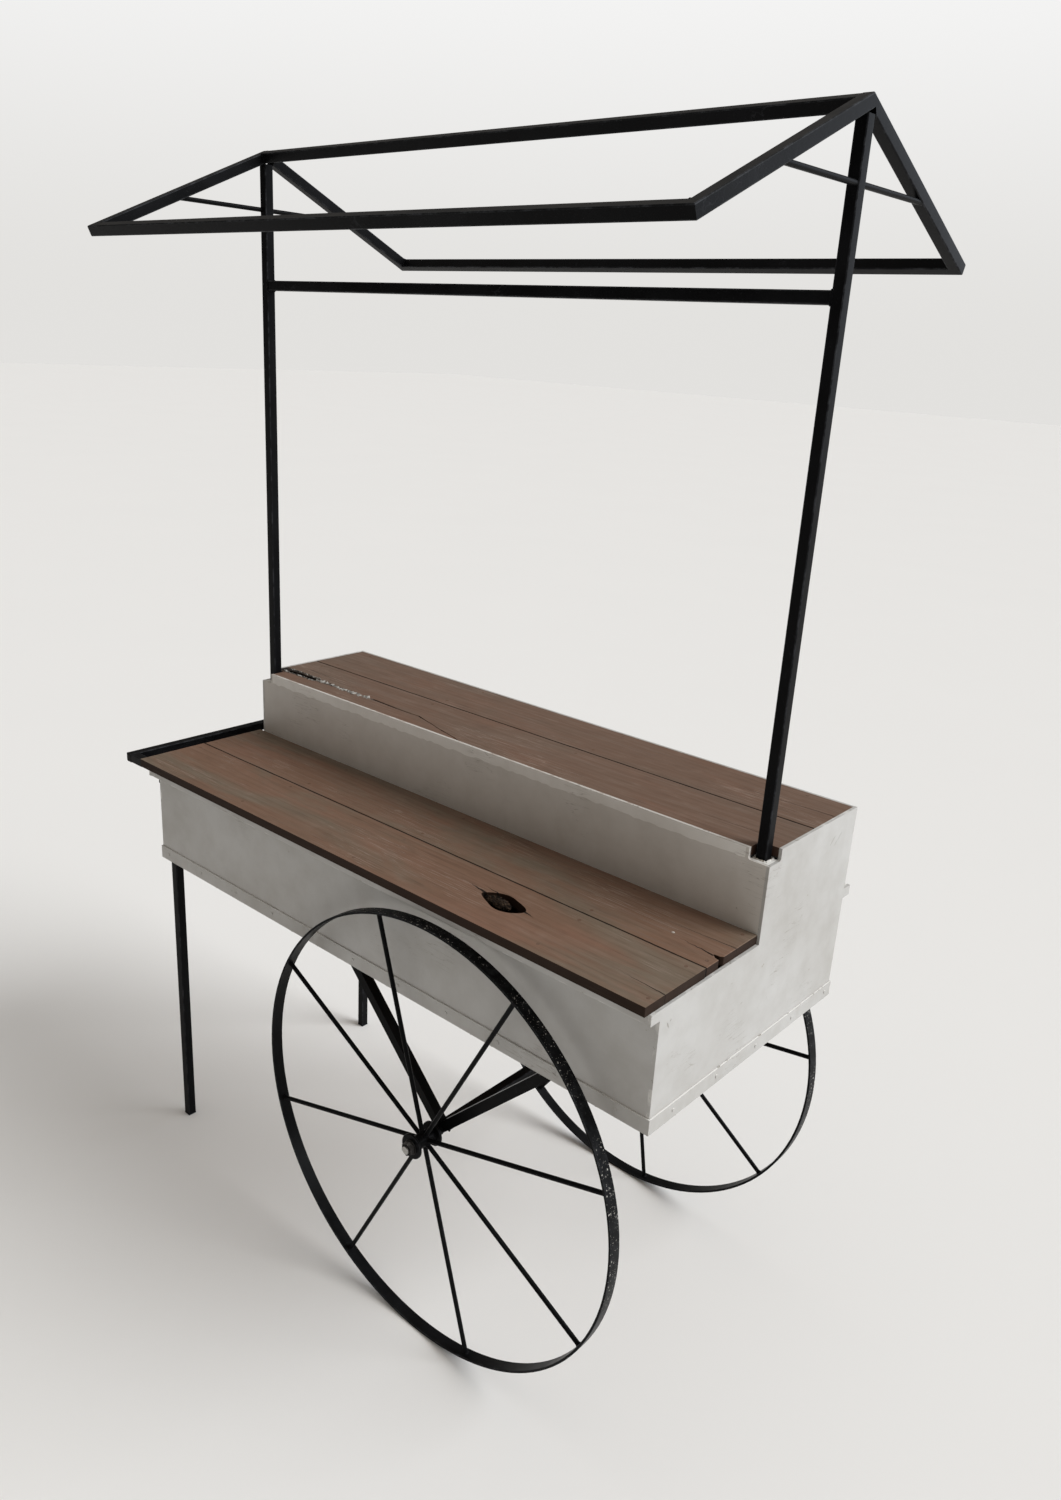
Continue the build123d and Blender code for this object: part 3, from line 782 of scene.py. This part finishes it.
def caulkPost(name, low, high, seed):
    # a ragged square of white paste round the foot of a post
    gap = caulkShape["fromPost"]
    xs, ys = (low.x - gap, high.x + gap), (low.y - gap, high.y + gap)
    z = plateHigh.z + 0.0002
    corners = [(xs[0], ys[0], z), (xs[1], ys[0], z), (xs[1], ys[1], z), (xs[0], ys[1], z)]
    for k in range(4):
        path = steps(corners[k], corners[(k + 1) % 4], caulkShape["pitch"])
        crust(f"{name}_{k}", path, caulkShape["width"], caulkShape["height"], 0.3, seed + k,
              "painted_steel", "filler")


nailHead = {"radius": 0.0034, "proud": 0.0004, "thick": 0.0012, "dish": 0.0003}
nailRows = {
    "lower_boards": {
        "xs": (-0.655, -0.318, 0.040, 0.478, 0.703),
        "ys": (-0.330, -0.208, -0.162, -0.046),
        "top": lowerTop,
    },
    "upper_boards": {
        "xs": (-0.600, -0.212, 0.205, 0.640),
        "ys": (0.112, 0.156, 0.272),
        "top": upperTop,
    },
}


def oneNail():
    # a flat nail head with a dished middle and an eased rim
    bpy.ops.object.select_all(action="DESELECT")
    bpy.ops.mesh.primitive_cylinder_add(vertices=16, radius=nailHead["radius"], depth=nailHead["thick"])
    nail = bpy.context.object
    bpy.ops.object.mode_set(mode="EDIT")
    selectFaces(nail, lambda face: face.normal.z > 0.9)
    bpy.ops.mesh.inset(thickness=nailHead["radius"] * 0.25)
    bpy.ops.transform.translate(value=(0, 0, -nailHead["dish"]))
    selectEdges(nail, lambda edge: edge.is_manifold and edge.calc_face_angle() > 1.2
                and all(v.co.z > 0 for v in edge.verts))
    bpy.ops.mesh.bevel(offset=nailHead["radius"] * 0.1, segments=2, affect="EDGES")
    bpy.ops.object.mode_set(mode="OBJECT")
    shadeByAngle(nail, 35)
    return nail


def copyAt(pattern, name, matrix):
    # a copy with its own mesh, its place in the mesh
    piece = bpy.data.objects.new(name, pattern.data.copy())
    bpy.context.scene.collection.objects.link(piece)
    piece.data.transform(matrix)
    return piece


def joined(pieces, name):
    selectOnly(*pieces)
    bpy.ops.object.join()
    whole = bpy.context.object
    whole.name = name
    return whole


def driveNails():
    pattern = oneNail()
    chance = random.Random(11)
    for slot, row in nailRows.items():
        heads = []
        for x in row["xs"]:
            for y in row["ys"]:
                spot = Vector((x + chance.uniform(-0.009, 0.009), y + chance.uniform(-0.005, 0.005), 0))
                spot.z = row["top"] + nailHead["proud"] - nailHead["thick"] / 2
                tip = Matrix.Rotation(chance.uniform(-0.05, 0.05), 4, "X")
                heads.append(copyAt(pattern, "nail", Matrix.Translation(spot) @ tip))
        nails = joined(heads, slot + "_nails")
        finishPiece(nails, "cart", finishes["stained_nails"].material)
    bright = Matrix.Translation((nailX, nailY, lowerTop + 0.0002))
    shiny = copyAt(pattern, "bare_nail", bright @ Matrix.Scale(0.8, 4))
    finishPiece(shiny, "cart", finishes["filler"].material)
    bpy.data.objects.remove(pattern)


# welds

weldShape = {"width": 0.0048, "height": 0.0022, "pitch": 0.0021}


def oneRipple():
    # one ripple of a weld: a squashed drop, flat underneath
    bpy.ops.object.select_all(action="DESELECT")
    bpy.ops.mesh.primitive_uv_sphere_add(segments=8, ring_count=5, radius=0.5, location=(0, 0, 0))
    ripple = bpy.context.object
    bpy.ops.object.mode_set(mode="EDIT")
    bpy.ops.mesh.select_all(action="SELECT")
    bpy.ops.mesh.bisect(plane_co=(0, 0, -0.2), plane_no=(0, 0, -1), clear_outer=True, use_fill=True)
    bpy.ops.object.mode_set(mode="OBJECT")
    shadeByAngle(ripple, 60)
    return ripple


def bead(ripple, name, runs, body, slot="black_steel"):
    # weld beads laid as overlapping ripples; a run is its start, its end and the way it faces
    chance = random.Random(len(name) * 7 + len(runs))
    ripples = []
    for start, end, outward in runs:
        start, end, outward = Vector(start), Vector(end), Vector(outward).normalized()
        along = (end - start).normalized()
        turn = Matrix((along, outward.cross(along), outward)).transposed().to_4x4()
        count = max(3, round((end - start).length / weldShape["pitch"]))
        for k in range(count):
            spot = start.lerp(end, (k + 0.5) / count) + along * chance.uniform(-0.0003, 0.0003)
            grow = chance.uniform(0.85, 1.15)
            size = (weldShape["pitch"] * 1.7, weldShape["width"] * grow, weldShape["height"] * grow * 2)
            shape = Matrix.Diagonal((*size, 1))
            ripples.append(copyAt(ripple, "ripple", Matrix.Translation(spot) @ turn @ shape))
    return finishPiece(joined(ripples, name), body, finishes[slot].material)


half = (postHigh.x - postLow.x) / 2
postCentres = [((leftPostLow.x + leftPostHigh.x) / 2, 1), ((postLow.x + postHigh.x) / 2, -1)]
barLow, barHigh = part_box("canopy_crossbar")
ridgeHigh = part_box("canopy_ridge")[1]
legLow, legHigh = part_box("leg_front")
rearLegLow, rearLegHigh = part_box("leg_rear")
crossLow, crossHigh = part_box("handle_crossbar")
armsLow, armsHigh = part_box("handle_arms")
beamLow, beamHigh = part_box("axle_beam")
axleX, axleZ = hubCentre.x, hubCentre.z


roofPitch = radians(24.3)


def weldCanopy(ripple):
    runs = []
    for x, inward in postCentres:
        face = x + inward * half
        for z, up in ((barLow.z, -1), (barHigh.z, 1)):
            runs.append(((face, -half, z), (face, half, z), (inward, 0, up)))
        for y in (-half, half):
            runs.append(((face, y, barLow.z), (face, y, barHigh.z), (inward, 1 if y > 0 else -1, 0)))
    # inner corners of the front and rear frames at the eaves
    for eave, side in (("canopy_front_eave", -1), ("canopy_rear_eave", 1)):
        low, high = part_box(eave)
        outerY = low.y if side < 0 else high.y
        slope = Vector((0, side * cos(roofPitch), -sin(roofPitch)))
        up = Vector((0, side * sin(roofPitch), cos(roofPitch)))
        outerZ = ridgeHigh.z - abs(outerY) * (sin(roofPitch) / cos(roofPitch))
        for x, inward in ((low.x, 1), (high.x, -1)):
            corner = Vector((x + inward * 2 * half, outerY, outerZ)) - slope * 2 * half
            runs.append((corner - up * 2 * half, corner, (inward, -slope.y, -slope.z)))
            apex = Vector((x + inward * 2 * half, 0, ridgeHigh.z)) + slope * 2 * half
            runs.append((apex - up * 2 * half, apex, (inward, slope.y, slope.z)))
    bead(ripple, "canopy_welds", runs, "canopy")


def weldCart(ripple):
    legRuns = []
    for low, high in ((legLow, legHigh), (rearLegLow, rearLegHigh)):
        z = high.z
        legRuns.append(((low.x, low.y, z), (high.x, low.y, z), (0, -1, -1)))
        legRuns.append(((low.x, high.y, z), (high.x, high.y, z), (0, 1, -1)))
        legRuns.append(((low.x, low.y, z), (low.x, high.y, z), (-1, 0, -1)))
        legRuns.append(((high.x, low.y, z), (high.x, high.y, z), (1, 0, -1)))
    bead(ripple, "leg_welds", legRuns, "cart")
    strutRuns = []
    mitre = half * 2.83  # a 45 degree cut through a strut
    for side in ("front", "rear"):
        for end in ("left", "right"):
            low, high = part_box(f"strut_{side}_{end}")
            topX = (low.x, low.x + mitre) if end == "left" else (high.x - mitre, high.x)
            for y, facing in ((low.y, -1), (high.y, 1)):
                strutRuns.append(((topX[0], y, high.z), (topX[1], y, high.z), (0, facing, -1)))
        for y, facing in ((low.y, -1), (high.y, 1)):
            strutRuns.append(((axleX, y, low.z), (axleX, y, low.z + mitre), (0, facing, 0)))
    for y, facing in ((beamLow.y, 1), (beamHigh.y, -1)):
        for z, up in ((beamLow.z, -1), (beamHigh.z, 1)):
            strutRuns.append(((beamLow.x, y, z), (beamHigh.x, y, z), (0, facing, up)))
    bead(ripple, "strut_welds", strutRuns, "cart")
    handleRuns = []
    joinX = crossHigh.x
    for y, facing in ((armsLow.y + 2 * half, 1), (armsHigh.y - 2 * half, -1)):
        handleRuns.append(((joinX, y, crossLow.z), (joinX, y, crossHigh.z), (1, facing, 0)))
    bead(ripple, "handle_welds", handleRuns, "cart")


spokeCollar = {"radius": 0.0045, "flare": 0.0027, "length": 0.0055, "bumps": 0.00045}
spokeCount = 8
spokePhase = {"front": 17.4, "rear": 9.7}
rimThick = 0.005


def oneCollar():
    # a lumpy weld fillet round a spoke's end, wide at the foot
    bpy.ops.object.select_all(action="DESELECT")
    bpy.ops.mesh.primitive_cone_add(
        vertices=12, radius1=spokeCollar["radius"] + spokeCollar["flare"],
        radius2=spokeCollar["radius"] + 0.0001, depth=spokeCollar["length"],
        location=(0, 0, spokeCollar["length"] / 2))
    collar = bpy.context.object
    bpy.ops.object.mode_set(mode="EDIT")
    bpy.ops.mesh.subdivide(number_cuts=1, smoothness=0.4)
    bpy.ops.transform.vertex_random(offset=spokeCollar["bumps"], uniform=0.5, seed=9)
    bpy.ops.object.mode_set(mode="OBJECT")
    shadeByAngle(collar, 70)
    return collar


def weldSpokes(collar):
    for side in ("front", "rear"):
        wheel = f"wheel_{side}"
        barrelLow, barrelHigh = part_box(wheel + "_hub")
        rimLow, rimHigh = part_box(wheel + "_rim")
        rimY = (rimLow.y + rimHigh.y) / 2
        hubRadius = (barrelHigh.z - barrelLow.z) / 2
        innerRadius = (rimHigh.z - rimLow.z) / 2 - rimThick
        collars = []
        for k in range(spokeCount):
            angle = radians(spokePhase[side] + 360 / spokeCount * k)
            outward = Vector((cos(angle), 0, sin(angle)))
            centre = Vector((axleX, rimY, axleZ))
            for radius, way in ((hubRadius - 0.0006, 1), (innerRadius + 0.0003, -1)):
                turn = (outward * way).to_track_quat("Z", "Y").to_matrix().to_4x4()
                collars.append(copyAt(collar, "collar", Matrix.Translation(centre + outward * radius) @ turn))
        fillets = joined(collars, wheel + "_spoke_welds")
        finishPiece(fillets, wheel, finishes["black_steel"].material)


# small parts of the frame: plugs in the handle, paint drips, old paint along the riser

plugShape = {"side": 0.0158, "thick": 0.006, "crown": 0.0012, "sunk": 0.0006}


def plugHandle():
    # pressed-in plugs with a crowned face that close the ends of the handle's crossbar
    x, z = (crossLow.x + crossHigh.x) / 2, (crossLow.z + crossHigh.z) / 2
    plugs = []
    for y, facing in ((crossLow.y, -1), (crossHigh.y, 1)):
        bpy.ops.object.select_all(action="DESELECT")
        middle = y - facing * (plugShape["sunk"] + plugShape["thick"] / 2)
        bpy.ops.mesh.primitive_cube_add(size=1, location=(x, middle, z))
        plug = bpy.context.object
        bpy.ops.object.mode_set(mode="EDIT")
        size = (plugShape["side"], plugShape["thick"], plugShape["side"])
        bpy.ops.transform.resize(value=size, center_override=(x, middle, z))
        selectFaces(plug, lambda face: face.normal.y * facing > 0.9)
        bpy.ops.mesh.inset(thickness=0.0022)
        bpy.ops.transform.translate(value=(0, facing * plugShape["sunk"], 0))
        bpy.ops.mesh.select_all(action="SELECT")
        bpy.ops.mesh.bevel(offset=0.0007, segments=2, affect="EDGES")
        bpy.ops.object.mode_set(mode="OBJECT")
        selectOnly(plug)
        bpy.ops.object.transform_apply(location=True, rotation=True, scale=True)
        shadeByAngle(plug, 40)
        plugs.append(plug)
    finishPiece(joined(plugs, "handle_plugs"), "cart", finishes["black_fixings"].material)


dripShape = {"count": 46, "width": 0.0020, "length": 0.0034}


def hangDrips():
    # paint that ran and dried along the foot of the band
    bpy.ops.object.select_all(action="DESELECT")
    bpy.ops.mesh.primitive_uv_sphere_add(segments=8, ring_count=6, radius=0.5, location=(0, 0, 0))
    drop = bpy.context.object
    bpy.ops.object.mode_set(mode="EDIT")
    selectFaces(drop, lambda face: face.calc_center_median().z > 0.25)
    bpy.ops.transform.resize(value=(1.25, 1.25, 1.0), center_override=(0, 0, 0.5))
    bpy.ops.object.mode_set(mode="OBJECT")
    shadeByAngle(drop, 70)
    chance = random.Random(21)
    rightLow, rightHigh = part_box("skirt_right")
    drops = []
    for k in range(dripShape["count"]):
        if k % 3:
            spot = Vector((chance.uniform(bandLow.x, bandHigh.x), bandLow.y + 0.0014, bandLow.z))
        else:
            spot = Vector((rightHigh.x - 0.0014, chance.uniform(rightLow.y, rightHigh.y), rightLow.z))
        size = chance.uniform(0.5, 1.15)
        shape = (dripShape["width"] * size * 1.2, dripShape["width"] * size, dripShape["length"] * size)
        drops.append(copyAt(drop, "drip", Matrix.Translation(spot) @ Matrix.Diagonal((*shape, 1))))
    drips = joined(drops, "band_paint_drips")
    finishPiece(drips, "cart", finishes["painted_steel"].material)
    bpy.data.objects.remove(drop)


stripShape = {"height": 0.021, "proud": 0.0007, "fromTop": 0.0012, "pitch": 0.011, "ragged": 0.0022}


def layRiserStrip():
    # a ragged layer of older paint along the top of the riser
    chance = random.Random(5)
    fromX, toX = riserLow.x + 0.034, riserHigh.x - 0.042
    low = riserHigh.z - stripShape["height"]
    high = riserHigh.z - stripShape["fromTop"]
    bpy.ops.object.select_all(action="DESELECT")
    bpy.ops.mesh.primitive_cube_add(size=1, location=(0, 0, 0))
    strip = bpy.context.object
    strip.name = "riser_old_paint"
    place = ((fromX + toX) / 2, riserLow.y - stripShape["proud"] / 2 + 0.0001, (low + high) / 2)
    bpy.ops.object.mode_set(mode="EDIT")
    bpy.ops.transform.resize(value=(toX - fromX, stripShape["proud"], high - low))
    bpy.ops.transform.translate(value=place)
    cuts = round((toX - fromX) / stripShape["pitch"])
    for k in range(1, cuts):
        bpy.ops.mesh.select_all(action="SELECT")
        x = fromX + (toX - fromX) * k / cuts
        bpy.ops.mesh.bisect(plane_co=(x, 0, 0), plane_no=(1, 0, 0))
    bpy.ops.object.mode_set(mode="OBJECT")
    wander = {}
    for vertex in strip.data.vertices:
        if vertex.co.z < place[2]:
            column = round(vertex.co.x / 0.002)
            wander.setdefault(column, chance.uniform(-1, 1) * stripShape["ragged"])
            vertex.co.z += wander[column]
    shadeByAngle(strip, 30)
    finishPiece(strip, "cart", finishes["old_paint"].material)


print("bark, filler and nails")
growBark()
fillCrack()
caulkPost("right_post_caulk", postLow, postHigh, 31)
caulkPost("left_post_caulk", leftPostLow, leftPostHigh, 41)
driveNails()
print("welds")
weldRipple = oneRipple()
weldCanopy(weldRipple)
weldCart(weldRipple)
bpy.data.objects.remove(weldRipple)
weldCollar = oneCollar()
weldSpokes(weldCollar)
bpy.data.objects.remove(weldCollar)
print("plugs, drips and old paint")
plugHandle()
hangDrips()
layRiserStrip()


# studio: floor, light and camera

studio = {
    "floorSize": 90.0,
    "floorPaint": (0.88, 0.865, 0.84),
    "keyFrom": (0.74, 0.34, 0.58),
    "keyStrength": 2.7,
    "keyColour": (0.95, 0.975, 1.0),
    "keySoftness": 38.0,
    "skyTop": (0.50, 0.475, 0.445),
    "skyLow": (0.027, 0.024, 0.021),
    "windowAt": (0.52, 0.83, 0.20),
    "window": (1.45, 1.55, 1.70),
    "backdropLow": (0.765, 0.755, 0.735),
    "backdropHigh": (0.94, 0.94, 0.94),
}


def layFloor():
    bpy.ops.object.select_all(action="DESELECT")
    bpy.ops.mesh.primitive_plane_add(size=studio["floorSize"], location=(0, 0, 0))
    floor = bpy.context.object
    floor.name = "studio_floor"
    finish = Finish("pale_floor", {"Specular IOR Level": 0.1})
    cloud = finish.place.noise(0.9, 2.0)
    finish.paint("Base Color", (cloud * 0.06).tint(studio["floorPaint"], (0.6, 0.6, 0.6)))
    finish.paint("Roughness", 0.85 + cloud * 0.1)
    floor.data.materials.append(finish.material)


def lightStudio():
    key = bpy.data.lights.new("key_light", "SUN")
    key.energy = studio["keyStrength"]
    key.color = studio["keyColour"]
    key.angle = radians(studio["keySoftness"])
    lamp = bpy.data.objects.new("key_light", key)
    bpy.context.scene.collection.objects.link(lamp)
    lamp.rotation_euler = Vector(studio["keyFrom"]).to_track_quat("Z", "Y").to_euler()
    world = bpy.data.worlds.new("studio_sky")
    bpy.context.scene.world = world
    world.use_nodes = True
    tree = world.node_tree
    sky = Shade(tree)
    around = sky.make("TexCoord", out="Generated")
    height = around.axis("Z")
    lighting = height.smooth(-0.05, 0.95).tint(studio["skyLow"], studio["skyTop"])
    towards = Vector(studio["windowAt"]).normalized()
    window = sky.make("VectorMath", {"operation": "DOT_PRODUCT"}, {0: around, 1: towards}, "Value")
    lighting = window.smooth(0.78, 0.96).tint(lighting, studio["window"])
    backdrop = height.smooth(0.0, 0.35).tint(studio["backdropLow"], studio["backdropHigh"])
    seen = sky.make("LightPath", out="Is Camera Ray")
    tree.links.new(seen.tint(lighting, backdrop).socket, tree.nodes["Background"].inputs["Color"])


cameraPlace = {
    "place": (1.5319, -1.6160, 1.8900),
    "yaw": 40.512,
    "pitch": -19.628,
    "roll": 3.285,
    "focal": 27.37,
    "shift": (0.0055, -0.0009),
}


def placeCamera():
    yaw, pitch, roll = [radians(cameraPlace[angle]) for angle in ("yaw", "pitch", "roll")]
    forward = Vector((-sin(yaw) * cos(pitch), cos(yaw) * cos(pitch), sin(pitch)))
    level = Vector((cos(yaw), sin(yaw), 0))
    upright = level.cross(forward)
    right = level * cos(roll) + upright * sin(roll)
    up = upright * cos(roll) - level * sin(roll)
    data = bpy.data.cameras.new("camera")
    data.lens = cameraPlace["focal"]
    data.sensor_width = 36.0
    data.shift_x, data.shift_y = cameraPlace["shift"]
    camera = bpy.data.objects.new("camera", data)
    bpy.context.scene.collection.objects.link(camera)
    turn = Matrix((right, up, -forward)).transposed()
    camera.matrix_world = Matrix.Translation(Vector(cameraPlace["place"])) @ turn.to_4x4()
    bpy.context.scene.camera = camera


print("studio")
layFloor()
lightStudio()
placeCamera()
bpy.context.scene.view_settings.view_transform = "Standard"
